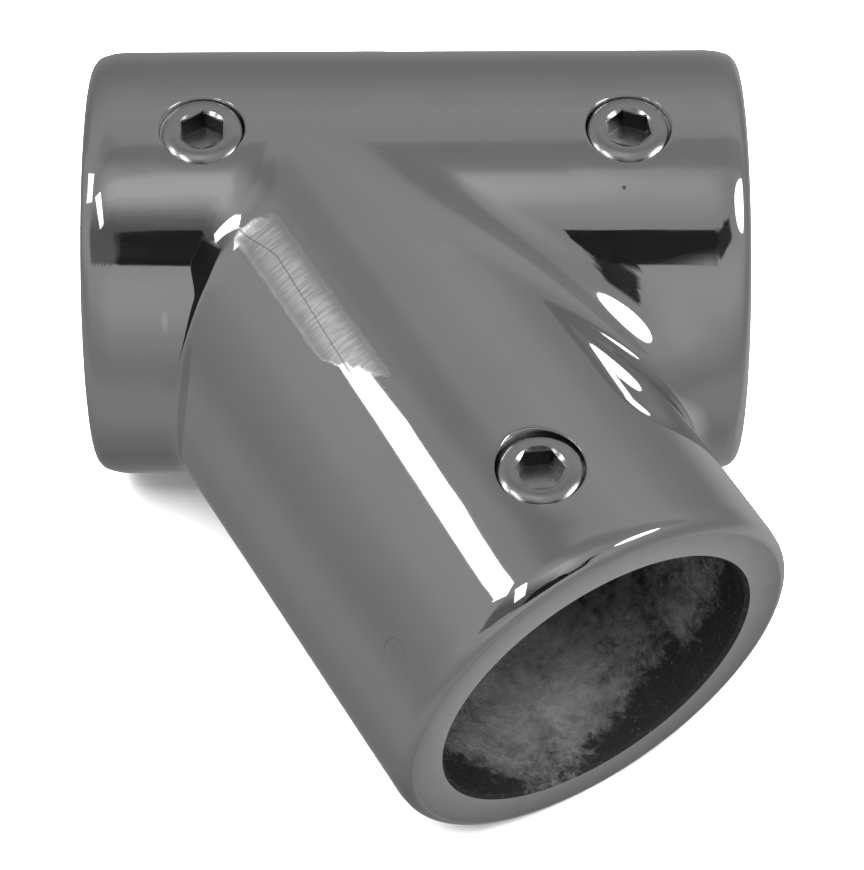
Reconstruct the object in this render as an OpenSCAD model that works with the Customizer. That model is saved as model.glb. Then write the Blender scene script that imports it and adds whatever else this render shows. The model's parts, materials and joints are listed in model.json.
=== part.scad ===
/* [Tube] */
// Outside diameter of the tube that the fitting holds
tube_d = 25.4; // [19:0.1:32]
// Gap all round between the tube and a bore
tube_gap = 0.1; // [0.05:0.01:0.3]

/* [Body] */
// Wall between a bore and the outside of the casting
wall_t = 3.7; // [3.2:0.1:5]
// Angle between the sleeve and the branch
branch_angle = 60; // [45:1:80]
// Radius of the blend in the two crotches where the branch leaves the sleeve
crotch_r = 2; // [1:0.1:4]
// Plain sleeve from the obtuse crotch's blend to the short end
short_land = 5.2; // [3:0.1:20]
// Plain sleeve from the acute crotch's blend to the long end
long_land = 2; // [1.8:0.1:20]
// Plain branch from the acute crotch's blend to the mouth
branch_land = 12.2; // [8:0.1:40]
// Radius of the rounded edges at the sleeve's two ends
end_round = 1.7; // [0.5:0.1:2.5]
// Radius of the rounded edge at the branch's mouth
mouth_round = 0.7; // [0.3:0.1:2]
// Lead-in chamfer at the mouths of the bores
bore_chamfer = 0.3; // [0.1:0.05:0.6]

/* [Set screws] */
// Outside diameter of a set screw's thread
screw_d = 6.35; // [5:0.05:7]
// Gap all round between a set screw and its tapped hole
screw_gap = 0.04; // [0.02:0.01:0.08]
// From a sleeve end to the axis of its set screw
sleeve_screw_inset = 9; // [7:0.1:12]
// From the branch's mouth to the axis of its set screw
branch_screw_inset = 8.8; // [7:0.1:12]
// How far the sleeve's set screws lie below the crest of the casting
sleeve_recess = 0.15; // [0.05:0.05:0.5]
// How far the branch's set screw lies below the crest of the casting
branch_recess = 0.3; // [0.05:0.05:0.5]
// How far a set screw's tip stays short of the bore
tip_setback = 0.05; // [0.02:0.01:0.2]
// Chamfer round the face of a set screw
face_chamfer = 0.25; // [0.1:0.05:0.4]
// Key size of the hexagon socket, across its flats
hex_flats = 3.175; // [2.5:0.05:3.5]
// Depth of the hexagon socket's flats
hex_depth = 1.5; // [1:0.1:1.6]
// Depth of the drilled cone at the bottom of the socket
drill_depth = 0.4; // [0.2:0.05:0.5]
// Bevel along the edges of the hexagon socket
socket_bevel = 0.2; // [0.05:0.05:0.3]
// Diameter of the cup at a set screw's tip
cup_d = 3.2; // [2.5:0.1:3.6]
// Width of the rim round the cup
cup_rim = 0.1; // [0.05:0.05:0.3]
// Depth of the cup at a set screw's tip
cup_depth = 0.5; // [0.3:0.05:0.6]
// Depth of the countersink at the mouth of a tapped hole, on the crest
mouth_depth = 0.3; // [0.1:0.05:0.5]
// How much wider the countersink is there, all round
mouth_flare = 0.1; // [0.05:0.01:0.2]
// Turn of the hexagon in the sleeve's short end, from flats at front and back
left_spin = 30; // [0:1:59]
// Turn of the hexagon in the sleeve's long end
right_spin = 40; // [0:1:59]
// Turn of the hexagon in the branch
branch_spin = 5; // [0:1:59]

/* [Hidden] */
$fn = 96;

bore_r = tube_d / 2 + tube_gap;
outer_r = bore_r + wall_t;
screw_r = screw_d / 2;
hole_r = screw_r + screw_gap;
// one kind of screw serves all three holes, and the deepest still clears the bore
screw_len = wall_t - max(sleeve_recess, branch_recess) - tip_setback;

// Half the angle between the metal on the two sides of each crotch
acute_half = branch_angle / 2;
obtuse_half = 90 - branch_angle / 2;

// How far from the crossing of the axes a crotch's blend ends, along either axis
function blend_reach(half) = (outer_r + crotch_r) / tan(half);

// Lengths from the crossing of the two axes
short_end = blend_reach(obtuse_half) + short_land;
long_end = blend_reach(acute_half) + long_land;
branch_len = blend_reach(acute_half) + branch_land;

// The casting lies flat with the set screws on top: Z is their axis, the sleeve
// runs along X, and the branch leaves it towards the long end and -Y.
branch_dir = [cos(branch_angle), -sin(branch_angle), 0];
left_screw_at = [sleeve_screw_inset - short_end, 0, 0];
right_screw_at = [long_end - sleeve_screw_inset, 0, 0];
branch_screw_at = (branch_len - branch_screw_inset) * branch_dir;

// How far cuts run past the faces that they open
past = 1;

// Turns what is built along Z to run along the sleeve, towards the long end
module along_sleeve() rotate([0, 90, 0]) children();

// Turns what is built along Z to run along the branch, towards its mouth
module along_branch() rotate([0, 90, -branch_angle]) children();

// Profile corner of radius r: the quarter disc that stands at the end of the edge
module corner(at, r, up) {
    translate(at) intersection() {
        circle(r);
        translate([0, up > 0 ? 0 : -r]) square(r);
    }
}

// Round bar along Z with its outer edges rounded. A round of 0 leaves the start square.
module rounded_bar(r, len, start_round, end_round) {
    rotate_extrude() {
        translate([0, start_round]) square([r, len - start_round - end_round]);
        translate([0, len - 2 * end_round]) square([r - end_round, 2 * end_round]);
        corner([r - end_round, len - end_round], end_round, 1);
        if (start_round > 0) {
            square([r - start_round, 2 * start_round]);
            corner([r - start_round, start_round], start_round, -1);
        }
    }
}

// The blend in a crotch. A ball of radius crotch_r that touches both outer cylinders
// rolls along an ellipse, and each ring of this solid has the ball's arc between its
// two points of contact, with the arc's ends sunk a little into the metal.
blend_sink = 0.04;
blend_steps = 44;
degrees_per_facet = 15;

function unit(v) = v / norm(v);

// Ring at the angle a round the sleeve, from its crest down the branch's side.
// side is 1 in the acute crotch and -1 in the obtuse one.
function blend_ring(a, side, half, arc_steps) =
    let (
        outward = [side, 0, 0],
        across = unit(outward - (outward * branch_dir) * branch_dir),
        up = [0, 0, cos(a)],
        reach = blend_reach(half) * sin(a),
        ball = reach * outward + (outer_r + crotch_r) * ([0, -sin(a), 0] + up),
        on_sleeve = reach * outward + outer_r * ([0, -sin(a), 0] + up),
        on_branch = reach * branch_dir + outer_r * (sin(a) * across + up),
        from = unit(on_sleeve - ball),
        to = unit(on_branch - ball),
        turn = acos(from * to),
        root = ball * (bore_r + wall_t / 2) / norm([ball.y, ball.z])
    )
    concat(
        [for (i = [0 : arc_steps])
            let (t = i / arc_steps * turn)
            ball + (crotch_r + blend_sink) / sin(turn) * (sin(turn - t) * from + sin(t) * to)],
        [root]
    );

module blend(side) {
    half = side > 0 ? acute_half : obtuse_half;
    arc_steps = ceil((180 - 2 * half) / degrees_per_facet);
    // towards the crest the blend thins out, and its last ring is just under the skin
    vanishing = sqrt(1 - pow(crotch_r / (crotch_r + blend_sink), 2)) / cos(half);
    first = asin(0.8 * vanishing);
    rings = [for (i = [0 : blend_steps])
        blend_ring(first + i / blend_steps * (180 - 2 * first), side, half, arc_steps)];
    n = arc_steps + 2;
    // seen from outside, the rings of the two crotches run opposite ways round
    wind = function (face) side < 0 ? face : [for (i = [len(face) - 1 : -1 : 0]) face[i]];
    skin = [for (i = [0 : blend_steps - 1], j = [0 : n - 1])
        let (a = i * n + j, b = i * n + (j + 1) % n)
        each [wind([a, b, b + n]), wind([a, b + n, a + n])]];
    start_cap = wind([for (j = [n - 1 : -1 : 0]) j]);
    end_cap = wind([for (j = [0 : n - 1]) blend_steps * n + j]);
    polyhedron([for (r = rings) each r], concat(skin, [start_cap, end_cap]));
}

// Bore with its lead-in chamfer at the far end, built along Z
module bore(len) {
    cylinder(r = bore_r, h = len + past);
    translate([0, 0, len - bore_chamfer])
        cylinder(r1 = bore_r, r2 = bore_r + bore_chamfer + past, h = bore_chamfer + past);
}

// Tapped hole through the wall, with the small countersink at its mouth
module tapped_hole(at) {
    translate([at.x, at.y, bore_r / 2]) cylinder(r = hole_r, h = outer_r);
    translate([at.x, at.y, outer_r - mouth_depth])
        cylinder(r1 = hole_r, r2 = hole_r + mouth_flare * (mouth_depth + past) / mouth_depth,
            h = mouth_depth + past);
}

module tee_body() {
    color([0.72, 0.72, 0.73]) difference() {
        union() {
            translate([-short_end, 0, 0]) along_sleeve()
                rounded_bar(outer_r, short_end + long_end, end_round, end_round);
            along_branch() rounded_bar(outer_r, branch_len, 0, mouth_round);
            blend(1);
            blend(-1);
        }
        along_sleeve() bore(long_end);
        mirror([1, 0, 0]) along_sleeve() bore(short_end);
        along_branch() bore(branch_len);
        tapped_hole(left_screw_at);
        tapped_hole(right_screw_at);
        tapped_hole(branch_screw_at);
    }
}

// Cup-point set screw over the given point, its face sunk by recess below the crest
// and its hexagon turned by spin
module set_screw(at, recess, spin) {
    point_r = cup_d / 2 + cup_rim;
    point_h = screw_r - point_r;
    color([0.6, 0.6, 0.61])
    translate([at.x, at.y, outer_r - recess - screw_len]) difference() {
        union() {
            cylinder(r1 = point_r, r2 = screw_r, h = point_h);
            translate([0, 0, point_h])
                cylinder(r = screw_r, h = screw_len - face_chamfer - point_h);
            translate([0, 0, screw_len - face_chamfer])
                cylinder(r1 = screw_r, r2 = screw_r - face_chamfer, h = face_chamfer);
        }
        translate([0, 0, screw_len - hex_depth]) rotate(spin)
            cylinder(d = hex_flats / cos(30), h = hex_depth + past, $fn = 6);
        translate([0, 0, screw_len - hex_depth - drill_depth])
            cylinder(d1 = 0, d2 = hex_flats, h = drill_depth);
        translate([0, 0, screw_len - socket_bevel]) rotate(spin)
            cylinder(d1 = hex_flats / cos(30), d2 = (hex_flats + 2 * (socket_bevel + past)) / cos(30),
                h = socket_bevel + past, $fn = 6);
        translate([0, 0, -past])
            cylinder(d1 = cup_d * (1 + past / cup_depth), d2 = 0, h = cup_depth + past);
    }
}

module set_screw_left() set_screw(left_screw_at, sleeve_recess, left_spin);

module set_screw_right() set_screw(right_screw_at, sleeve_recess, right_spin);

module set_screw_branch() set_screw(branch_screw_at, branch_recess, branch_spin);

tee_body();
set_screw_left();
set_screw_right();
set_screw_branch();
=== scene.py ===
import json
import math

import bmesh
import bpy
import numpy as np
from mathutils import Matrix, Vector, noise


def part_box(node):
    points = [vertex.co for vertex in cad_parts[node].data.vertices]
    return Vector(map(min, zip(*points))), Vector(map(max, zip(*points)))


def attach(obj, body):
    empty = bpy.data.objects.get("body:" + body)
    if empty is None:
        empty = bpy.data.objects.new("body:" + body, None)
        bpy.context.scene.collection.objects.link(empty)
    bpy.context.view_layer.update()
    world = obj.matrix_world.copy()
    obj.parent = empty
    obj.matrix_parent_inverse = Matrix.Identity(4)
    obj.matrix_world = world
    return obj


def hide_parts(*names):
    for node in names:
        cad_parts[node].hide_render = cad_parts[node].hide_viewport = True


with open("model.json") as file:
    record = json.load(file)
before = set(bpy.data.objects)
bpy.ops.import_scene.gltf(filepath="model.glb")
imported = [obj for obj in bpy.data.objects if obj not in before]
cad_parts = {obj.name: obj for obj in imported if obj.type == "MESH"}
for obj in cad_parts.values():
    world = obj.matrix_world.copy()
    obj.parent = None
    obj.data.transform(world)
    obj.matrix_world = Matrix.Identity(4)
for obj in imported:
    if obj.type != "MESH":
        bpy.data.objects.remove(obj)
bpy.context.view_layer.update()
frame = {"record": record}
print("frame loaded")

scene = bpy.context.scene
mm = 0.001
up = np.array([0.0, 0.0, 1.0])
mounts = {mount["name"]: mount for mount in frame["record"]["mounts"]}


cameraSet = {
    "turn": -0.273, "rise": 55.187, "roll": -0.10,  # degrees
    "distance": 278.63, "right": 10.32, "down": 13.56,  # millimetres, from the crossing of the bores
    "lens": 146.71,
}


def makeCamera(made):
    turn, rise, roll = (math.radians(made[key]) for key in ("turn", "rise", "roll"))
    back = Vector((math.sin(turn) * math.cos(rise), -math.cos(turn) * math.cos(rise), math.sin(rise)))
    level = Vector((math.cos(turn), math.sin(turn), 0))
    over = back.cross(level)
    right = math.cos(roll) * level + math.sin(roll) * over
    top = math.cos(roll) * over - math.sin(roll) * level
    place = (back * made["distance"] + right * made["right"] - top * made["down"]) * mm
    data = bpy.data.cameras.new("view")
    data.lens = made["lens"]
    data.clip_start, data.clip_end = 0.02, 20
    holder = bpy.data.objects.new("view", data)
    scene.collection.objects.link(holder)
    facing = Matrix((right, top, back)).transposed().to_4x4()
    holder.matrix_world = Matrix.Translation(place) @ facing
    scene.camera = holder
    return place, facing


cameraPlace, cameraFacing = makeCamera(cameraSet)
print("camera in place")


# one value running through a material's nodes: sums on it add Math nodes
class Wire:
    def __init__(self, nodes, socket):
        self.nodes, self.socket = nodes, socket

    def math(self, operation, *others):
        return self.nodes.math(operation, self, *others)

    # how far from zero the point is that this value and another one give
    def farWith(self, other):
        return (self * self + other * other).math("SQRT")

    def __add__(self, other):
        return self.math("ADD", other)

    def __radd__(self, other):
        return self.nodes.math("ADD", other, self)

    def __sub__(self, other):
        return self.math("SUBTRACT", other)

    def __rsub__(self, other):
        return self.nodes.math("SUBTRACT", other, self)

    def __mul__(self, other):
        return self.math("MULTIPLY", other)

    def __rmul__(self, other):
        return self.nodes.math("MULTIPLY", other, self)

    def __truediv__(self, other):
        return self.math("DIVIDE", other)

    def __rtruediv__(self, other):
        return self.nodes.math("DIVIDE", other, self)

    def __abs__(self):
        return self.math("ABSOLUTE")


# the nodes of one material or of the surroundings
class Nodes:
    def __init__(self, tree):
        self.tree = tree

    def node(self, kind, settings=None, sockets=None, out=0):
        made = self.tree.nodes.new("ShaderNode" + kind)
        for key, value in (settings or {}).items():
            if key == "stops":
                self.setStops(made.color_ramp, value)
            else:
                setattr(made, key, value)
        for key, value in (sockets or {}).items():
            if isinstance(value, Wire):
                self.tree.links.new(value.socket, made.inputs[key])
            else:
                made.inputs[key].default_value = value
        return Wire(self, made.outputs[out])

    def math(self, operation, *values):
        return self.node("Math", {"operation": operation}, dict(enumerate(values)))

    def setStops(self, ramp, stops):
        ends = ramp.elements[0], ramp.elements[-1]
        for element, (place, shade) in zip(ends, (stops[0], stops[-1])):
            element.position, element.color = place, (shade, shade, shade, 1)
        for place, shade in stops[1:-1]:
            ramp.elements.new(place).color = (shade, shade, shade, 1)

    # 0 below one value, 1 above the other, smooth between them
    def rise(self, value, low, high):
        return self.node("MapRange", {"interpolation_type": "SMOOTHSTEP"},
                         {"Value": value, "From Min": low, "From Max": high})

    # the same, straight between them
    def slope(self, value, low, high):
        return self.node("MapRange", None, {"Value": value, "From Min": low, "From Max": high})

    # 1 between low and high, falling to 0 over soft outside them
    def window(self, value, low, high, soft):
        return self.rise(value, low - soft, low) * (1 - self.rise(value, high, high + soft))

    def parts(self, at):
        return [self.node("SeparateXYZ", None, {0: at}, out=letter) for letter in "XYZ"]

    def noise(self, at, scale, detail=3.0, rough=0.5):
        return self.node("TexNoise", None,
                         {"Vector": at, "Scale": scale, "Detail": detail, "Roughness": rough})

    # the kinds of Mix share their sockets' names, so here they go by number
    def blend(self, share, dark, light):
        return self.node("Mix", {"data_type": "RGBA"}, {0: share, 6: dark, 7: light}, out=2)

    def blendVectors(self, share, first, second):
        return self.node("Mix", {"data_type": "VECTOR"}, {0: share, 4: first, 5: second}, out=1)

    def dot(self, at, direction):
        sockets = {0: at, 1: tuple(direction)}
        return self.node("VectorMath", {"operation": "DOT_PRODUCT"}, sockets, out="Value")

    def stretched(self, at, scales):
        return self.node("VectorMath", {"operation": "MULTIPLY"}, {0: at, 1: scales})

    # distance to a place, with each direction stretched
    def away(self, at, place, scales=(1, 1, 1)):
        apart = self.node("VectorMath", {"operation": "SUBTRACT"}, {0: at, 1: place})
        apart = self.stretched(apart, scales)
        return self.node("VectorMath", {"operation": "LENGTH"}, {0: apart}, out="Value")

    def join(self, x, y, z):
        return self.node("CombineXYZ", None, {0: x, 1: y, 2: z})

    # relief, from heights in millimetres
    def bump(self, height):
        return self.node("Bump", None, {"Height": height, "Strength": 1.0, "Distance": mm})


# a metal's material, with its constants set on the shader and its patterns linked by finishUp
class Metal(Nodes):
    def __init__(self, name, **constants):
        self.material = bpy.data.materials.new(name)
        self.material.use_nodes = True
        super().__init__(self.material.node_tree)
        self.shader = self.tree.nodes["Principled BSDF"]
        for key, value in constants.items():
            self.shader.inputs[key.replace("_", " ")].default_value = value
        self.at = self.stretched(self.node("TexCoord", out="Object"), (1 / mm,) * 3)  # in millimetres

    def finishUp(self, **links):
        for key, wire in links.items():
            self.tree.links.new(wire.socket, self.shader.inputs[key.replace("_", " ")])
        return self.material


def grey(value):
    return (value, value, value, 1)


bodyLow, bodyHigh = (np.array(corner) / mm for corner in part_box("tee_body"))

casting = {
    "endRound": 0.75, "mouthRound": 0.7, "chamfer": 0.3,
    # balls that fit the crotches, where they touch the sleeve and the branch: radius low down, then how
    # much more polishing has opened them, at how many degrees from the crest and over what spread
    "acute": {"sleeve": (2.0, (4.9, 41, 30), (18.0, 0, 15.4), (-0.25, 90, 20)),
              "branch": (1.9, (4.2, 30, 31), (10.4, 0, 21))},
    "obtuse": {"sleeve": (2.1, (3.5, 22, 10), (1.0, 45, 20)),
               "branch": (2.1, (24.0, 0, 22), (-1.7, 52, 20))},
    "softness": 0.45,  # share of a curve that bends in slowly, in the crotches' blends
    "turns": 120,  # steps round half of a tube
    "openRows": 9, "openSteps": 18,  # opening left round a tapped hole on the outside
    "boreRows": 12, "boreSteps": 12,  # and in the bore
    # steps along each arm, before and past its opening
    "outsideSteps": {"long": (26, 5), "short": (8, 5), "branch": (40, 6)},
    "insideSteps": {"long": (14, 3), "short": (3, 3), "branch": (20, 3)},
    "crotchSteps": {"acute": 24, "obtuse": 20},
    "holeGap": 0.04,  # between a screw and its hole
    # rings of faces round a hole outside and in the bore, and steps over its rolled edge
    "collarRings": (6, 4), "rollSteps": 6,
    "roundSteps": 10, "faceSteps": 4, "chamferSteps": 3,  # from the outside of an end into its bore
    "pitch": 1.27, "threadDepth": 0.34, "threadFade": 0.35, "threadSteps": 44,
    "crease": 25,  # degrees between faces, past which an edge is sharp
}
# the casting's materials, in their order on the mesh
finishes = {"polished": 0, "bore": 1, "faced": 2, "long": 3, "short": 4, "branch": 5}
outerR = float(bodyHigh[2])
boreR = mounts["sleeve_bore"]["dims"]["r_mm"]
shortEnd = float(-bodyLow[0])
longEnd = mounts["sleeve_bore"]["dims"]["length_mm"] + 2 * casting["chamfer"] - shortEnd
branchEnd = mounts["branch_bore"]["dims"]["length_mm"] + casting["chamfer"]
branchWay = np.array(mounts["branch_bore"]["axis"], float)
branchSide = np.array([-branchWay[1], branchWay[0], 0.0])
halfAngles = {"acute": math.acos(branchWay[0]) / 2, "obtuse": (math.pi - math.acos(branchWay[0])) / 2}


# points, faces and finishes of one mesh, gathered patch by patch
class Skin:
    def __init__(self):
        self.points, self.faces, self.finishes, self.count = [], [], [], 0

    # grid is rows of points; neighbours in it become four-sided faces
    def patch(self, grid, finish):
        rows, columns = grid.shape[:2]
        index = self.count + np.arange(rows * columns).reshape(rows, columns)
        faces = np.stack([index[:-1, :-1], index[:-1, 1:], index[1:, 1:], index[1:, :-1]], -1)
        faces = faces.reshape(-1, 4)
        self.points.append(grid.reshape(-1, 3))
        self.faces.append(faces)
        self.finishes += [finish] * len(faces)
        self.count += rows * columns

    def ring(self, grid, finish):
        self.patch(np.concatenate([grid, grid[:, :1]], 1), finish)

    # one closed mesh, with points that meet made one. wear says how far each point has been moved by use
    def make(self, name, centre, materials, crease, wear=None):
        points = (np.concatenate(self.points) - centre) * mm
        mesh = bpy.data.meshes.new(name)
        mesh.from_pydata(points.tolist(), [], np.concatenate(self.faces).tolist())
        mesh.polygons.foreach_set("material_index", self.finishes)
        bm = bmesh.new()
        bm.from_mesh(mesh)
        bmesh.ops.remove_doubles(bm, verts=bm.verts[:], dist=4e-7)
        bmesh.ops.dissolve_degenerate(bm, edges=bm.edges[:], dist=1e-7)
        bmesh.ops.recalc_face_normals(bm, faces=bm.faces[:])
        openEdges = sum(not edge.is_manifold for edge in bm.edges)
        bm.to_mesh(mesh)
        bm.free()
        if wear:
            count = len(mesh.vertices)
            points, normals = np.empty(count * 3), np.empty(count * 3)
            mesh.vertices.foreach_get("co", points)
            mesh.vertices.foreach_get("normal", normals)
            moved = points.reshape(-1, 3) / mm + wear(points.reshape(-1, 3) / mm, normals.reshape(-1, 3))
            mesh.vertices.foreach_set("co", (moved * mm).ravel())
            mesh.update()
        for material in materials:
            mesh.materials.append(material)
        mesh.shade_smooth()
        mesh.set_sharp_from_angle(angle=math.radians(crease))
        piece = bpy.data.objects.new(name, mesh)
        piece.location = centre * mm
        scene.collection.objects.link(piece)
        triangles = sum(len(polygon.vertices) - 2 for polygon in mesh.polygons)
        print(f"{name}: {triangles} triangles, {openEdges} open edges")
        return piece


# one arm of the tee: lengths run along it from the crossing, angles round it from the crest
class Arm:
    def __init__(self, tube, along, across, end, endRound, crotches, screw):
        self.tube, self.along, self.across, self.end, self.endRound = tube, along, across, end, endRound
        self.crotches = crotches  # the crotches on its two sides, None where it runs on
        low, high = (np.array(corner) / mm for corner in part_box(screw))
        self.screw = screw
        self.screwAt = float((low + high) @ along / 2)
        self.screwR = float(high[0] - low[0]) / 2

    def place(self, length, angle, r):
        length, angle, r = np.broadcast_arrays(length, angle, r)
        aside, above = r * np.sin(angle), r * np.cos(angle)
        return length[..., None] * self.along + aside[..., None] * self.across + above[..., None] * up

    # where the arm begins: at the blend on the outside, at the other bore inside
    def start(self, angle, r, blended):
        reach = [crotchReach(crotch, self.tube, angle, r, blended) if crotch else 0 * angle
                 for crotch in self.crotches]
        return np.where(angle > 0, reach[0], reach[1])


# how far from the crossing a crotch's blend ends, along either of its arms
def crotchReach(crotch, tube, angle, r, blended):
    ball = ballRadius(crotch, tube, angle) if blended else 0
    return (r + ball) / math.tan(halfAngles[crotch]) * np.abs(np.sin(angle))


def ballRadius(crotch, tube, angle):
    ball, *opened = casting[crotch][tube]
    fromCrest = 90 - np.abs(90 - np.degrees(np.abs(angle)))
    more = [most * np.exp(-((fromCrest - centre) / spread) ** 2) for most, centre, spread in opened]
    return ball + sum(more)


turns = casting["turns"]
allAngles = np.radians(np.arange(-turns, turns + 1) * 180 / turns)

arms = {
    "long": Arm("sleeve", np.array([1.0, 0, 0]), np.array([0, -1.0, 0]), longEnd, casting["endRound"],
                ("acute", None), "set_screw_right"),
    "short": Arm("sleeve", np.array([-1.0, 0, 0]), np.array([0, -1.0, 0]), shortEnd, casting["endRound"],
                 ("obtuse", None), "set_screw_left"),
    "branch": Arm("branch", branchWay, branchSide, branchEnd, casting["mouthRound"],
                  ("acute", "obtuse"), "set_screw_branch"),
}


# the rectangle left open round a tapped hole: half its length, its rows and steps
def opening(r, rows, steps):
    return r * math.sin(math.radians(rows * 180 / turns)), rows, steps


outsideOpening = opening(outerR, casting["openRows"], casting["openSteps"])
boreOpening = opening(boreR, casting["boreRows"], casting["boreSteps"])


# an arm's tube at one radius, from the crotches to its end. Rows of points run straight past the
# opening, and away from it they follow the crotch
def coverArm(skin, arm, r, blended, end, opened, steps, finish):
    half, rows, openSteps = opened
    edge = allAngles[turns + rows]
    beside = np.abs(np.sin(allAngles)) < math.sin(edge) + 1e-9
    first, last = arm.start(allAngles, r, blended), np.full(len(allAngles), end)
    held = arm.start(np.where(allAngles > 0, edge, -edge), r, blended)
    knots = []
    for knot in (arm.screwAt - half, arm.screwAt + half):
        share = (knot - held) / (end - held)
        knots.append(np.where(beside, knot, first + share * (end - first)))
    spans = (first, knots[0], steps[0]), (knots[0], knots[1], openSteps), (knots[1], last, steps[1])
    for number, (low, high, count) in enumerate(spans):
        part = np.linspace(0, 1, count + 1)
        lengths = low[:, None] + (high - low)[:, None] * part
        grid = arm.place(lengths, allAngles[:, None], r)
        if number == 1:
            skin.patch(grid[:turns - rows + 1], finish)
            skin.patch(grid[turns + rows:], finish)
        else:
            skin.patch(grid, finish)


# points round the opening, from the side of the arm's end: how far along the arm and to its side
def openingLoop(r, opened):
    half, rows, steps = opened
    step = math.pi / turns
    down = [(half, row * step) for row in range(rows)]
    across = [(half - 2 * half * number / steps, rows * step) for number in range(steps)]
    back = [(-half, (rows - row) * step) for row in range(rows)]
    quarter = down + across + back
    loop = quarter + [(-length, -angle) for length, angle in quarter]
    return np.array([(length, r * math.sin(angle)) for length, angle in loop])


# a tapped hole's surroundings on one side of the wall, out to the opening
def holeCollar(skin, arm, r, opened, rim, rings, finish):
    loop = openingLoop(r, opened)
    part = (np.linspace(0, 1, rings + 1) ** 0.8)[:, None, None]  # closer together at the hole
    plan = loop + part * (rim - loop)
    height = np.sqrt(r * r - plan[..., 1] ** 2)
    skin.ring(overHole(arm, plan, height), finish)


def overHole(arm, plan, height):
    along, across = (plan[..., :1] + arm.screwAt) * arm.along, plan[..., 1:] * arm.across
    return along + across + height[..., None] * up


# depth of a thread's groove, which fades out at two heights
def thread(made, height, angle, low, high):
    flat = 0.12  # share of the slope's length that is flat at the crest, and at the root
    wave = np.abs(((height / made["pitch"] + angle / (2 * math.pi)) % 1) * 2 - 1)
    groove = np.clip((wave - flat) / (1 - 2 * flat), 0, 1)
    ends = np.clip(np.minimum(height - low, high - height) / made["threadFade"], 0, 1)
    return made["threadDepth"] * groove * ends


def tappedHole(skin, arm, made):
    holeR = arm.screwR + casting["holeGap"]
    count = 4 * casting["openRows"] + 2 * casting["openSteps"]
    angle = np.arange(count) * 2 * math.pi / count
    spread = np.stack([np.cos(angle), np.sin(angle)], -1)
    # the rolled edge is wider on one side, where the wheel has leaned on it
    lean = math.radians(made["lean"])
    roll = made["roll"] + made["extra"] * np.clip(np.cos(angle - lean), 0, 1) ** 2
    outsideRings, boreRings = casting["collarRings"]
    rim = spread * (holeR + roll)[:, None]
    holeCollar(skin, arm, outerR, outsideOpening, rim, outsideRings, finishes["polished"])
    holeCollar(skin, arm, boreR, boreOpening, spread * holeR, boreRings, finishes["bore"])
    turn = np.radians(np.linspace(0, 90, casting["rollSteps"] + 1))[:, None]
    radius = holeR + roll * (1 - np.sin(turn))
    height = np.sqrt(outerR ** 2 - (radius * np.sin(angle)) ** 2) - roll * (1 - np.cos(turn))
    skin.ring(overHole(arm, radius[..., None] * spread, height), finishes["polished"])
    top, bottom = height[-1], np.sqrt(boreR ** 2 - (holeR * np.sin(angle)) ** 2)
    down = np.linspace(0, 1, casting["threadSteps"] + 1)[:, None]
    height = top + down * (bottom - top)
    radius = holeR + thread(casting, height, angle, bottom, top)
    skin.ring(overHole(arm, radius[..., None] * spread, height), made["finish"])


def armEnd(skin, arm):
    chamfer, angles = casting["chamfer"], allAngles[:-1]
    turn = np.radians(np.linspace(0, 90, casting["roundSteps"] + 1))[:, None]
    length = arm.end - arm.endRound * (1 - np.sin(turn))
    radius = outerR - arm.endRound * (1 - np.cos(turn))
    skin.ring(arm.place(length, angles, radius), finishes["polished"])
    radius = np.linspace(outerR - arm.endRound, boreR + chamfer, casting["faceSteps"] + 1)[:, None]
    skin.ring(arm.place(arm.end, angles, radius), finishes["faced"])
    share = np.linspace(0, 1, casting["chamferSteps"] + 1)[:, None]
    length, radius = arm.end - chamfer * share, boreR + chamfer * (1 - share)
    skin.ring(arm.place(length, angles, radius), finishes["bore"])


def unit(vectors):
    return vectors / np.linalg.norm(vectors, axis=-1, keepdims=True)


# balls rolled down the crotch touch both arms, and the blend runs from one's contact to the other's
def blendCrotch(skin, sleeve, side, name):
    angle = allAngles[turns:]
    contacts, corners, turnings = [], [], []
    for number, tube in enumerate(("sleeve", "branch")):
        ball, reach = ballRadius(name, tube, angle), crotchReach(name, tube, angle, outerR, True)
        middle = sleeve.place(reach, angle, outerR + ball)
        ends = sleeve.place(reach, angle, outerR), arms["branch"].place(reach, side * angle, outerR)
        ways = [unit(end - middle) for end in ends]
        turn = np.arccos(np.clip((ways[0] * ways[1]).sum(-1), -1, 1))
        contacts.append(ends[number])
        corners.append(middle + unit(ways[0] + ways[1]) * (ball / np.cos(turn / 2))[:, None])
        turnings.append(turn)
    part = np.linspace(0, 1, casting["crotchSteps"][name] + 1)[None, :, None]
    # handles that draw nearly the ball's own arc
    pulls = 4 / 3 * np.tan(turnings[0] / 4) / np.tan(np.maximum(turnings[0] / 2, 1e-6))
    pulls = np.clip(pulls, 0, 0.9)[:, None]
    tight = bezier((contacts[0], contacts[0] + (corners[0] - contacts[0]) * pulls,
                    contacts[1] + (corners[1] - contacts[1]) * pulls, contacts[1]), part)
    # and longer ones, whose curve meets the arms without a jump in its bend
    soft = bezier([contacts[0] + (corners[0] - contacts[0]) * pull for pull in (0, 0.35, 0.7)]
                  + [contacts[1] + (corners[1] - contacts[1]) * pull for pull in (0.7, 0.35, 0)], part)
    skin.patch(tight + (soft - tight) * casting["softness"], finishes["polished"])


def bezier(hooks, part):
    last = len(hooks) - 1
    return sum(math.comb(last, number) * part ** number * (1 - part) ** (last - number) * hook[:, None]
               for number, hook in enumerate(hooks))


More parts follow.
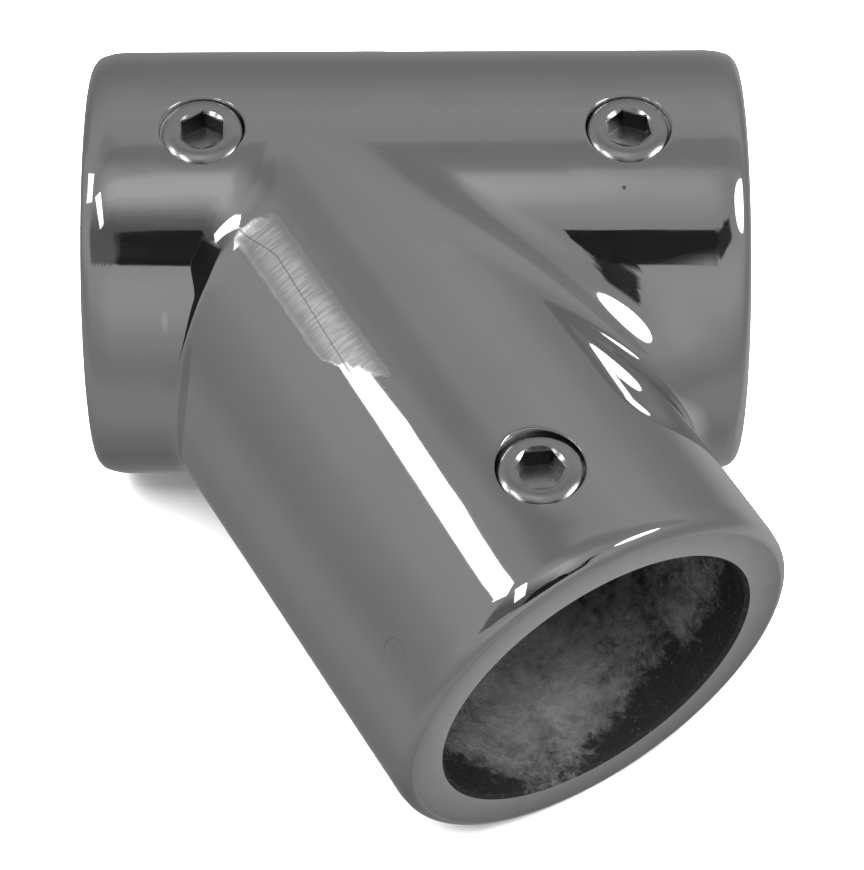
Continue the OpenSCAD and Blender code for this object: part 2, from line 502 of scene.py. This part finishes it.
# what polishing and use have done to the outside, in millimetres
worn = {
    "skin": (-0.6, -0.1),  # all of it fades out between these heights above the outside
    "waves": ((0.05, 15.0), (0.012, 5.5)),  # depth and length of slow waves
    "calmEnd": (0, 3.0), "calmScrew": (0.6, 3.1),  # which fade towards an end and a screw
    "crownR": 5.0, "crownWidth": 2.5,  # how the sleeve's ends fall away before their edges
    "crownFade": (2.5, 0.2),  # and how far off the sleeve that stops
    "mouthR": 3.2, "mouthWidth": 1.6,  # and the branch's mouth
    "mouthLean": (-0.5, 0.87),  # the way, aside and up, that the mouth falls away most
    "mouthShares": (0.15, 1.2),  # the least and the most of that fall
}
# the obtuse crotch's fillet: how far apart the two tubes' heights still blend, how soon that narrows
# towards the crest, and the degrees from the crest over which it fades in and out
fillet = {"width": 1.15, "crest": 1.85, "fadeIn": (1.5, 5.5), "fadeOut": (46, 32)}


# 0 at the first limit, 1 at the second, straight between them
def ramp(value, start, end):
    return np.clip((value - start) / (end - start), 0, 1)


def smooth(value):
    return value * value * (3 - 2 * value)


# height of a tube's top over points aside of its axis, falling steeply past its sides
def topHeight(aside):
    return np.sqrt(np.maximum(outerR ** 2 - aside ** 2, 0)) - 50 * np.maximum(np.abs(aside) - outerR, 0)


# how far the fillet raises the outside about the obtuse crotch
def filled(points):
    y, z = points.T[1:]
    along, aside = points @ branchWay, points @ branchSide
    fromCrests = [np.degrees(np.arcsin(np.clip(-off / outerR, -1, 1))) for off in (y, aside)]
    angle = np.maximum(np.minimum(*fromCrests), 0)
    sleeve, branch = topHeight(y), topHeight(aside)
    drop = fillet["crest"] * outerR * (1 - np.cos(np.radians(angle)))
    reach = fillet["width"] * (1 - np.exp(-drop / fillet["width"])) + 1e-4
    apart = np.abs(sleeve - branch)
    height = np.maximum(sleeve, branch) + reach / 4 * np.clip(1 - apart / reach, 0, 1) ** 2
    share = smooth(ramp(angle, *fillet["fadeIn"])) * smooth(ramp(angle, *fillet["fadeOut"]))
    return np.where((z > 0) & (along > -6), (height - z) * share, 0)


# how far an end has fallen away, from how far past the start of its crown a point lies
def crowned(past, radius):
    return radius - np.sqrt(radius ** 2 - np.maximum(past, 0) ** 2)


def wornAway(points, normals):
    x, y, z = points.T
    aside, along = points @ branchSide, points @ branchWay
    fromSleeve, fromBranch = np.hypot(y, z), np.hypot(aside, z)
    onOutside = ramp(np.minimum(fromSleeve, fromBranch) - outerR, *worn["skin"])
    rests = (longEnd - x, shortEnd + x, branchEnd - along)
    byLong, byShort, byMouth = (ramp(rest, *worn["calmEnd"]) for rest in rests)
    calm = onOutside * byLong * byShort * np.where(fromSleeve > outerR + 0.5, byMouth, 1)
    for arm in arms.values():
        fromScrew = np.hypot(*(points[:, :2] - arm.screwAt * arm.along[:2]).T) - arm.screwR
        calm *= np.where(z > 0, ramp(fromScrew, *worn["calmScrew"]), 1)
    calm = smooth(calm)
    depth = np.zeros(len(points))
    for size, length in worn["waves"]:
        waves = [noise.noise(Vector(point) / length) * 0.5 + 0.5 for point in points.tolist()]
        depth += size * np.array(waves)
    moves = -normals * (depth * calm)[:, None]
    moves[:, 2] += filled(points) * onOutside
    # the three ends fall away before their edges, and their faces less towards the bore
    inner = boreR + casting["chamfer"]
    past = np.maximum(x - longEnd, -x - shortEnd) + worn["crownWidth"]
    fall = crowned(past, worn["crownR"]) * ramp(fromSleeve, inner, outerR)
    fall *= ramp(fromSleeve - outerR, *worn["crownFade"]) / np.maximum(fromSleeve, 1e-6)
    moves[:, 1] -= fall * y
    moves[:, 2] -= fall * z
    least, most = worn["mouthShares"]
    lean = (aside * worn["mouthLean"][0] + z * worn["mouthLean"][1]) / np.maximum(fromBranch, 1e-6)
    fall = crowned(along - branchEnd + worn["mouthWidth"], worn["mouthR"])
    fall *= least + (most - least) * smooth(ramp(lean, -0.6, 0.6))
    fall *= ramp(fromBranch, inner, outerR) / np.maximum(fromBranch, 1e-6)
    moves -= fall[:, None] * (aside[:, None] * branchSide + z[:, None] * up)
    return moves


# each tapped hole: its screw, its rolled edge's width, how much wider that gets, and at how many degrees
tapped = {
    "long": {"screw": "right", "roll": 0.14, "extra": 0.1, "lean": 200, "finish": finishes["long"]},
    "short": {"screw": "left", "roll": 0.14, "extra": 0.1, "lean": 200, "finish": finishes["short"]},
    "branch": {"screw": "branch", "roll": 0.14, "extra": 0.2, "lean": 200, "finish": finishes["branch"]},
}


def makeCasting(materials):
    skin = Skin()
    for name, arm in arms.items():
        coverArm(skin, arm, outerR, True, arm.end - arm.endRound, outsideOpening,
                 casting["outsideSteps"][name], finishes["polished"])
        coverArm(skin, arm, boreR, False, arm.end - casting["chamfer"], boreOpening,
                 casting["insideSteps"][name], finishes["bore"])
        tappedHole(skin, arm, tapped[name])
        armEnd(skin, arm)
    blendCrotch(skin, arms["long"], 1, "acute")
    blendCrotch(skin, arms["short"], -1, "obtuse")
    return skin.make("tee_casting", np.zeros(3), materials, casting["crease"], wornAway)


polish = {
    "shade": 0.7, "cloud": 0.035, "roughness": 0.03,
    # painted glints: small patches whose colour is painted lighter to stand in for faint reflections,
    # two low on the sleeve's short end and one beside the acute crotch: middle, one over half their size
    # each way, and how much
    "spots": (((-9.59, -13.18, 9.92), (2.6, 0.9, 0.9), 0.7), ((-15.6, -5.91, 1.1), (2.6, 0.9, 0.5), 0.4),
              ((11.4, -11.2, 15.9), (0.75, 0.6, 0.3), 0.12)),
    # a hairline arc low on the branch's flank: millimetres along the branch, degrees from its crest
    "arc": {"along": 39.2, "turned": -58.9, "radius": (0.98, 1.02)},
    "pit": (24.57, -5.22, 15.65),  # beside the right screw
}
# the branch's flank is scuffed by its crotch: degrees from its crest that it lies between, millimetres
# along the branch less a lean for each degree, and millimetres along the branch where it starts
scuff = {
    "across": (-27.6, -18.5), "slant": (13.0, 29.6), "lean": 0.4, "start": 6.3,
    # its colour runs between the two shades, the lighter one a painted highlight
    "scratches": 0.02, "roughness": 0.33, "shades": (0.42, 0.95),
    # a fine dark line in it: degrees from the crest, how they change along it, and its bend at the top
    "line": {"turned": -21.6, "slope": -0.17, "bend": -4.5, "bent": (9.5, 5.0), "between": (6.0, 20.0)},
}
# painted shade, near black, along the obtuse crotch's crease: the ways down it and across it, the
# millimetres down that it lies between, and its half widths, each of which ends between two places down
creviceShade = {
    "down": (-0.5, -0.866, 0.0), "across": (0.866, -0.5, 0.0), "between": (10.9, 17.0),
    "widths": ((1.15, (12.3, 14.2)), (0.35, (13.5, 17.6))),
}


# where the branch's flank is scuffed
def scuffedFlank(metal, along, turned):
    ragged = metal.noise(metal.at, 0.9, 2) * 3 - 1.5
    length = metal.window(along - turned * scuff["lean"] + ragged, *scuff["slant"], 1.0)
    width = metal.window(turned + ragged * 0.5, *scuff["across"], 3.5)
    return length * width * metal.rise(along + ragged * 0.5, scuff["start"] - 1.2, scuff["start"])


def fineLine(metal, along, turned):
    made = scuff["line"]
    bend = metal.rise(along, *made["bent"]) * made["bend"]
    wobble = metal.noise(metal.at, 1.6, 2) * 0.5 - 0.25
    away = abs(turned - made["turned"] - along * made["slope"] - bend + wobble)
    return (1 - metal.rise(away, 0.08, 0.3)) * metal.window(along, *made["between"], 1.5)


def hairlineArc(metal, along, turned):
    arc = polish["arc"]
    along = along - arc["along"]
    across = (turned - arc["turned"]) * (math.radians(1) * outerR)
    circle = metal.window(along.farWith(across), *arc["radius"], 0.035)
    return circle * metal.rise(across * 0.8 - along, -0.4, 0.3)


def paintedCreviceShade(metal, z):
    down, across = metal.dot(metal.at, creviceShade["down"]), metal.dot(metal.at, creviceShade["across"])
    wide = 0.01
    for width, fades in creviceShade["widths"]:
        wide = wide + (1 - metal.rise(down, *fades)) * width
    within = metal.window(across / wide, -1.0, 0.05, 0.07)
    return within * metal.window(down, *creviceShade["between"], 0.5) * metal.rise(z, 0.0, 1.0)


def polishedSteel():
    base, cloudy, smoothest = polish["shade"], polish["cloud"], polish["roughness"]
    metal = Metal("polishedSteel", Metallic=1.0, Base_Color=grey(base), Roughness=smoothest)
    z = metal.parts(metal.at)[2]
    along, aside = metal.dot(metal.at, branchWay), metal.dot(metal.at, branchSide)
    turned = aside.math("ARCTAN2", z) * math.degrees(1)
    scuffed, line = scuffedFlank(metal, along, turned), fineLine(metal, along, turned)
    brushed = metal.noise(metal.join(along * 4.5, turned * 0.12, 0.0), 1.0, 3, 0.7)
    arc, dark = hairlineArc(metal, along, turned), paintedCreviceShade(metal, z)
    pit = 1 - metal.rise(metal.away(metal.at, polish["pit"]), 0.05, 0.2)
    cloud = metal.noise(metal.at, 0.12, 3)
    film = metal.rise(metal.noise(metal.at, 0.33, 4, 0.6), 0.45, 0.75)
    grain = metal.noise(metal.at, 6.0, 2, 0.7)
    shade = metal.blend(cloud, grey(base - cloudy), grey(base + cloudy))
    # painted highlight: the scuffed flank is lightest mid-band and further along, where the lamp's
    # blurred highlight lies, striped by the cross scratches
    scratchesAndHighlight = metal.slope(brushed, 0.36, 0.64) * 0.65 + metal.slope(along, 4.0, 20.0) * 0.35
    scratchesAndHighlight = scratchesAndHighlight * metal.rise(turned, -29.5, -24.5) * (1 - metal.rise(turned, -21.5, -16.5))
    darker, lighter = scuff["shades"]
    shade = metal.blend(scuffed, shade, metal.blend(scratchesAndHighlight, grey(darker), grey(lighter)))
    # painted glints: each patch's colour is lightened towards white
    spots = 0.0
    for middle, sizes, more in polish["spots"]:
        spots = (1 - metal.rise(metal.away(metal.at, middle, sizes), 0.15, 1.0)) * more + spots
    shade = metal.blend(spots, shade, grey(1.0))
    shade = metal.blend(line * 0.5 + arc * 0.35 + pit * 0.8, shade, grey(0.1))
    # painted shade, near black, in the obtuse crotch's crease
    shade = metal.blend(dark * 0.96, shade, grey(0.02))
    roughness = smoothest + film * 0.015 + grain * 0.012 + dark * 0.3
    roughness = roughness + scuffed * (scuff["roughness"] + brushed * 0.1)
    scratches = metal.bump(brushed * scuff["scratches"])
    flat = metal.bump(metal.noise(metal.at, 1.3, 2) * 0.0004 - pit * 0.02 - arc * 0.004 - line * 0.01)
    normal = metal.blendVectors(scuffed, flat, scratches)
    return metal.finishUp(Base_Color=shade, Roughness=roughness, Normal=normal)


bore = {
    "shades": (0.01, 0.2), "speck": 0.3,
    # how much each lightens the cast skin, or darkens it
    "shares": {"blotch": 0.28, "mottle": 0.32, "rubbed": 0.45, "rim": -0.7, "stain": -0.16},
    # a band of it is lighter: where that begins and ends, millimetres to the obtuse crotch's side
    "rubbed": (-9.5, 1.0), "unrubbed": (3.5, 9.0),
    "rim": (39.5, 43.4),  # millimetres along the branch where it darkens
}


def castBore():
    metal = Metal("castBore", Metallic=0.25, Base_Color=grey(0.06), Roughness=0.6,
                  Specular_IOR_Level=0.35)
    aside = metal.dot(metal.at, -branchSide)
    marks = {
        "blotch": metal.rise(metal.noise(metal.at, 0.16, 5, 0.65), 0.36, 0.64),
        "mottle": metal.rise(metal.noise(metal.at, 1.5, 5, 0.8), 0.3, 0.7),
        "rubbed": metal.rise(aside, *bore["rubbed"]) * (1 - metal.rise(aside, *bore["unrubbed"]) * 0.8),
        "rim": metal.slope(metal.dot(metal.at, branchWay), *bore["rim"]),
        "stain": metal.rise(metal.noise(metal.at, 0.45, 4, 0.65), 0.5, 0.62),
    }
    speck = metal.rise(metal.noise(metal.at, 4.5, 3, 0.6), 0.62, 0.8)
    light = sum(mark * bore["shares"][name] for name, mark in marks.items())
    shade = metal.blend(light, *(grey(shade) for shade in bore["shades"]))
    shade = metal.blend(speck * bore["speck"], shade, grey(bore["speck"]))
    relief = metal.bump(marks["mottle"] * 0.07 + metal.noise(metal.at, 3.5, 3, 0.6) * 0.02)
    return metal.finishUp(Base_Color=shade, Roughness=0.5 + marks["mottle"] * 0.3, Normal=relief)


# directions in which the gap round each screw is painted dark as shade, with their spread, in degrees
gapShadeWays = {
    "left": ((-20, 50),),
    "right": ((195, 48), (-35, 30)),
    "branch": ((190, 42), (55, 42), (-40, 35)),
}


# painted shade: 1 in the directions in which the gap round a screw looks dark
def paintedGapShade(metal, x, y, ways):
    angle, dark = y.math("ARCTAN2", x), 0.0
    for way, spread in ways:
        facing = (angle - math.radians(way)).math("COSINE")
        outside, inside = (math.cos(math.radians(spread + more)) for more in (15, -15))
        dark = metal.rise(facing, outside, inside) + dark
    return dark


# a grimy thread that also carries the gap's painted shade, and a polished band above the screw, painted
# lighter except in the directions where the gap is painted dark
def tappedSteel(arm, ways):
    metal = Metal(arm.screw + "_hole", Metallic=1.0, Base_Color=grey(0.3), Roughness=0.35)
    x, y, z = metal.parts(metal.at)
    centre = arm.screwAt * arm.along
    dark = paintedGapShade(metal, x - float(centre[0]), y - float(centre[1]), ways)
    grimeAndGapShade = metal.rise(metal.noise(metal.at, 1.4, 4, 0.6), 0.35, 0.7)
    shade = metal.blend(grimeAndGapShade, grey(0.36), grey(0.07))
    # painted light on the band above the screw, left out where the gap is painted dark
    bright = metal.rise(z, outerR - 1.6, outerR - 1.2) * (1 - dark)
    shade = metal.blend(bright, shade, grey(0.9))
    return metal.finishUp(Base_Color=shade, Roughness=0.25 + grimeAndGapShade * 0.2 + bright * 0.25)


# the faced ends keep faint rings from the turning, round the axis that each end has
def facedEnd():
    metal = Metal("facedEnd", Metallic=1.0, Base_Color=grey(0.62), Roughness=0.08)
    y, z = metal.parts(metal.at)[1:]
    aside = metal.dot(metal.at, branchSide)
    onBranch = metal.rise(metal.dot(metal.at, branchWay), branchEnd - 1.2, branchEnd - 1.0)
    radius = (aside * onBranch + y * (1 - onBranch)).farWith(z)
    rings = metal.noise(metal.join(radius * 5.0, onBranch, 0.0), 1.0, 3, 0.6)
    haze = metal.noise(metal.at, 0.5, 4, 0.6)
    # painted light: brighter towards the bore, standing in for a slight crown, and on the side that
    # leans back
    inward = metal.slope(radius, outerR - 0.6, boreR + casting["chamfer"]) * 0.4 - 0.2
    leaning = (z * 0.94 - aside * 0.34) / radius * 0.23
    shade = metal.blend(inward + leaning + haze * 0.2 + 0.39, grey(0.3), grey(1.0))
    return metal.finishUp(Base_Color=shade, Roughness=0.05 + rings * 0.05 + haze * 0.04,
                          Normal=metal.bump(rings * 0.0015 + haze * 0.002))


holes = [tappedSteel(arms[name], gapShadeWays[made["screw"]]) for name, made in tapped.items()]
tee = makeCasting([polishedSteel(), castBore(), facedEnd()] + holes)
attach(tee, "fitting")
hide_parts("tee_body")
print("casting made")


screwShape = {
    "columns": 96,
    "dome": 0.38, "domePower": 2.3, "domeSteps": 11,  # how far the face falls to its edge, and how late
    "hexFlats": 3.175, "hexDepth": 2.0, "drillDepth": 0.06,
    "sink": 1.89, "sinkSlope": 0.52,  # radius of the cone that leads into the socket, and its slope
    "cup": 3.2, "cupRim": 0.1, "cupDepth": 0.5,
    "pitch": 1.27, "threadDepth": 0.3, "threadFade": 0.3, "threadSteps": 39,
    "crease": 25,
    "spin": {"set_screw_left": 30, "set_screw_right": 40, "set_screw_branch": 5},  # degrees
}


def makeScrew(node, name, material):
    made = screwShape
    low, high = (np.array(corner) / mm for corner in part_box(node))
    centre = np.array([(low[0] + high[0]) / 2, (low[1] + high[1]) / 2, high[2]])
    bodyR, length = (high[0] - low[0]) / 2, high[2] - low[2]
    count = made["columns"]
    angle = math.radians(made["spin"][node]) + np.arange(count) * 2 * math.pi / count
    corner = (np.arange(count) * 360 / count) % 60 - 30
    hexR = made["hexFlats"] / 2 / np.cos(np.radians(corner))
    skin = Skin()

    # rings of points from pairs of a radius and a height, which may change round the ring
    def rings(profile):
        radii = np.array([np.broadcast_to(radius, count) for radius, height in profile])
        heights = np.array([np.broadcast_to(height, count) for radius, height in profile])
        spread = np.stack([radii * np.cos(angle), radii * np.sin(angle), heights], -1)
        skin.ring(spread + centre, 0)

    floor, drillR, drillDepth = -made["hexDepth"], made["hexFlats"] / 2, made["drillDepth"]
    rings([(0, floor - drillDepth), (drillR / 2, floor - drillDepth / 2), (drillR, floor)])
    # a shallow cone leads into the socket, and the face round it is domed
    sink, dome = made["sink"], made["dome"]
    sunk = -(sink - hexR) * made["sinkSlope"]
    rings([(drillR, floor), (hexR, floor), (hexR, floor / 2), (hexR, sunk)])
    rings([(hexR, sunk), ((hexR + sink) / 2, sunk / 2), (sink, 0)])
    shares = np.linspace(0, 1, made["domeSteps"] + 1)
    rings([(sink + (bodyR - sink) * share, -dome * share ** made["domePower"]) for share in shares])
    tipR = made["cup"] / 2 + made["cupRim"]
    tipTop = -length + bodyR - tipR
    heights = np.linspace(-dome, tipTop, made["threadSteps"] + 1)
    rings([(bodyR - thread(made, height, angle, tipTop, -dome), height) for height in heights])
    rings([(bodyR, tipTop), (tipR, -length), (made["cup"] / 2, -length), (0, made["cupDepth"] - length)])
    return skin.make(name, centre, [material], made["crease"])


# turned rings on the face, a duller forged socket, a grimy thread, painted shade in the gap, and painted
# shade and light in the socket
def screwSteel(name, ways):
    metal = Metal(name, Metallic=1.0, Base_Color=grey(0.6), Roughness=0.12)
    x, y, z = metal.parts(metal.at)
    radius, angle = x.farWith(y), y.math("ARCTAN2", x)
    rings = metal.noise(metal.join(radius * 9.0, angle * 0.5, 0.0), 1.0, 3, 0.6)
    haze = metal.noise(metal.at, 1.1, 4, 0.6)
    inSocket = metal.rise(z, -0.2, -0.3) * metal.rise(radius, 2.1, 2.0)
    grimeAndGapShade = metal.rise(radius + haze * 0.1, 3.06, 3.17) * paintedGapShade(metal, x, y, ways)
    onThread = metal.rise(z, -0.42, -0.8) * metal.rise(radius, 2.6, 2.7)
    # painted shade: the socket's wall is painted black on its far side; painted light: its floor is
    # painted light
    bottom = -screwShape["hexDepth"]
    floor = metal.rise(z, bottom + 0.015, bottom + 0.001)
    height = metal.rise(z, -0.24, -0.34) * metal.rise(z, bottom - 0.02, bottom + 0.01)
    wall = height * metal.rise(radius, 1.95, 1.9) * metal.rise(y + x * 0.45, -0.35, 0.35)
    face = metal.blend(rings * 0.6 + haze * 0.4, grey(0.5), grey(0.72))
    shade = metal.blend(inSocket * (0.15 + haze * 0.5), face, grey(0.3))
    shade = metal.blend(wall * (1 - floor) * 0.93, shade, grey(0.02))
    # painted light on the socket's floor
    shade = metal.blend(floor * 0.9, shade, metal.blend(haze, grey(0.6), grey(1.0)))
    # painted shade in the gap round the screw, on the sides where it looks dark
    shade = metal.blend(grimeAndGapShade * 0.85, shade, grey(0.03))
    shade = metal.blend(onThread * 0.7, shade, grey(0.12))
    roughness = 0.09 + rings * 0.09 + haze * 0.06 + inSocket * 0.12 + grimeAndGapShade * 0.2 + onThread * 0.25
    relief = rings * 0.005 + haze * 0.004 + inSocket * haze * 0.012
    return metal.finishUp(Base_Color=shade, Roughness=roughness, Normal=metal.bump(relief))


for where, ways in gapShadeWays.items():
    node = "set_screw_" + where
    screw = makeScrew(node, node + "_turned", screwSteel(node + "_steel", ways))
    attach(screw, where + "_screw")
    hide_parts(node)
print("screws made")


studio = {
    "floor": 3.0, "floorShade": 0.86,
    # brightness of the surroundings as the metal shows them, from straight below to straight above
    "heights": ((0.0, 0.10), (0.065, 0.135), (0.18, 0.175), (0.29, 0.18), (0.415, 0.155), (0.5, 0.158),
                (0.629, 0.182), (0.72, 0.212), (0.82, 0.222), (0.91, 0.203), (0.957, 0.19), (0.976, 0.2),
                (0.989, 0.222), (0.997, 0.243), (1.0, 0.25)),
    "backdrop": 0.97,
    # a dark beam behind: the way that it faces, degrees from that plane, where it ends at the left, as x
    # over z, and how much it darkens
    "beam": {"facing": (-0.261, 0.849, -0.4575), "between": (-14.0, -1.5), "soft": 5.5,
             "left": (-0.5, -0.1), "dark": 0.22},
    # soft glows and shades: turn, rise, reach in degrees, and how much they brighten
    "glows": ((15, 28, 45, 0.14), (-105, 79, 18, 0.4), (-150, 5, 60, -0.12), (120, -55, 50, 0.7),
              (-148, 58, 12, -0.16)),
    "overhead": {"size": 1.6, "height": 1.5, "power": 160.0},
    # the lamps: direction in degrees from straight ahead and above the horizon as seen from a point in
    # millimetres, distance and size in metres
    "lamps": {"upperLamp": {"turn": -74, "rise": 64.3, "seenFrom": (-5, -8, 14), "distance": 0.6,
                            "size": (0.2, 0.07), "power": 0.18, "shape": "RECTANGLE"},
              "leftLamp": {"turn": -104.5, "rise": 49.9, "seenFrom": (4, -20, 15), "distance": 0.6,
                           "size": (0.152, 0.1), "power": 0.105, "shape": "RECTANGLE"},
              "rightLamp": {"turn": 89, "rise": 47, "seenFrom": (22, -15, 10), "distance": 0.6,
                            "size": (0.28, 0.26), "power": 0.5, "shape": "ELLIPSE"}},
    # dark shapes about the camera, millimetres right of it and above it: middle, half size, turn in
    # degrees, softness of the left and right, lower and upper edges, and darkness
    "cards": {"cameraBody": ((0, 36), (42, 43), -5, (12, 2.5, 2.5), 1.0),
              "bodyShade": ((-130, 48), (100, 44), 0, (34, 14, 100), 0.64),
              "rightArm": ((85, 58), (45, 26), 33, (32, 12, 12), 0.95)},
    "ragged": 32.0,  # how far their edges wander, in millimetres
}


# unit vector, from degrees turned right from straight ahead and degrees above the horizon
def pointing(turn, rise):
    turn, rise = math.radians(turn), math.radians(rise)
    return Vector((math.cos(rise) * math.sin(turn), -math.cos(rise) * math.cos(turn), math.sin(rise)))


def makeFloor():
    size, depth, shade = studio["floor"], -outerR * mm, studio["floorShade"]
    corners = ((-size, -size), (size, -size), (size, size), (-size, size))
    mesh = bpy.data.meshes.new("floor")
    mesh.from_pydata([(x, y, depth) for x, y in corners], [], [(0, 1, 2, 3)])
    floor = bpy.data.objects.new("floor", mesh)
    scene.collection.objects.link(floor)
    paper = Metal("floorPaper", Metallic=0.0, Base_Color=grey(shade), Roughness=0.7)
    flecked = paper.blend(paper.noise(paper.at, 0.4, 4), grey(shade - 0.01), grey(shade + 0.01))
    mesh.materials.append(paper.finishUp(Base_Color=flecked))
    floor.visible_glossy = False


# what the metal mirrors, and a plain bright backdrop for everything else
def makeSurroundings():
    world = bpy.data.worlds.new("studio")
    scene.world = world
    world.use_nodes = True
    nodes = Nodes(world.node_tree)
    direction = nodes.node("TexCoord", out="Generated")
    x, z = nodes.parts(direction)[::2]
    heights = [(place, shade / polish["shade"]) for place, shade in studio["heights"]]
    mirrored = nodes.node("ValToRGB", {"stops": heights}, {0: z * 0.5 + 0.5})
    beam = studio["beam"]
    lean = nodes.dot(direction, beam["facing"]).math("ARCSINE") * math.degrees(1)
    across = nodes.rise(x / (abs(z) + 0.001), *beam["left"]) * nodes.rise(z, 0.3, 0.45)
    gain = 1 - nodes.window(lean, *beam["between"], beam["soft"]) * across * beam["dark"]
    for turn, rise, reach, more in studio["glows"]:
        near = nodes.rise(nodes.dot(direction, pointing(turn, rise)), math.cos(math.radians(reach)), 1.0)
        gain = gain * (near * more + 1)
    mirrored = nodes.stretched(mirrored, nodes.join(gain, gain, gain))
    inMetal = nodes.node("LightPath", out="Is Glossy Ray")
    shade = nodes.blend(inMetal, grey(studio["backdrop"]), mirrored)
    world.node_tree.links.new(shade.socket, world.node_tree.nodes["Background"].inputs["Color"])


def areaLight(name, place, aim, size, power, glossy, shape):
    data = bpy.data.lights.new(name, "AREA")
    data.shape = shape
    data.size, data.size_y = size
    data.energy = power
    light = bpy.data.objects.new(name, data)
    scene.collection.objects.link(light)
    light.location = place
    light.rotation_mode = "QUATERNION"
    light.rotation_quaternion = (Vector(place) - Vector(aim)).to_track_quat("Z", "Y")
    light.visible_glossy = glossy
    light.visible_camera, light.visible_diffuse = False, not glossy


# dark shape beside the camera that only the metal mirrors, with soft edges
def makeCard(name, number, middle, half, turn, soft, dark):
    sideSoft, lowSoft, highSoft = soft
    ragged = studio["ragged"]
    width, height = half[0] + sideSoft + ragged / 2, half[1] + max(lowSoft, highSoft) + ragged / 2
    mesh = bpy.data.meshes.new(name)
    corners = ((-width, -height), (width, -height), (width, height), (-width, height))
    mesh.from_pydata([(x * mm, y * mm, 0) for x, y in corners], [], [(0, 1, 2, 3)])
    card = bpy.data.objects.new(name, mesh)
    scene.collection.objects.link(card)
    shift = Matrix.Translation(Vector((middle[0], middle[1], 2 + number)) * mm)
    spin = Matrix.Rotation(math.radians(turn), 4, "Z")
    card.matrix_world = Matrix.Translation(cameraPlace) @ cameraFacing @ shift @ spin
    black = Metal(name, Metallic=0.0, Base_Color=grey(0.01), Roughness=0.9, Specular_IOR_Level=0.0)
    x, y = black.parts(black.at)[:2]
    x = x + (black.noise(black.at, 0.013, 1) - 0.5) * ragged
    y = y + (black.noise(black.at, 0.04, 2) - 0.5) * ragged
    cover = black.window(x, -half[0], half[0], sideSoft) * black.rise(y, -half[1] - lowSoft, -half[1])
    cover = cover * (1 - black.slope(y, half[1], half[1] + highSoft)) * dark
    shade = black.blend(black.noise(black.at, 0.1, 3), grey(0.001), grey(0.008))
    mesh.materials.append(black.finishUp(Alpha=cover, Base_Color=shade))
    card.visible_camera = card.visible_diffuse = card.visible_shadow = False


makeFloor()
makeSurroundings()
for number, (name, card) in enumerate(studio["cards"].items()):
    makeCard(name, number, *card)
overhead = studio["overhead"]
areaLight("overhead", (0, 0, overhead["height"]), (0, 0, 0), (overhead["size"],) * 2, overhead["power"],
          False, "RECTANGLE")
for name, lamp in studio["lamps"].items():
    seenFrom = Vector(lamp["seenFrom"]) * mm
    place = seenFrom + pointing(lamp["turn"], lamp["rise"]) * lamp["distance"]
    areaLight(name, place, seenFrom, lamp["size"], lamp["power"], True, lamp["shape"])
scene.view_settings.view_transform = "Standard"
print("studio lit")
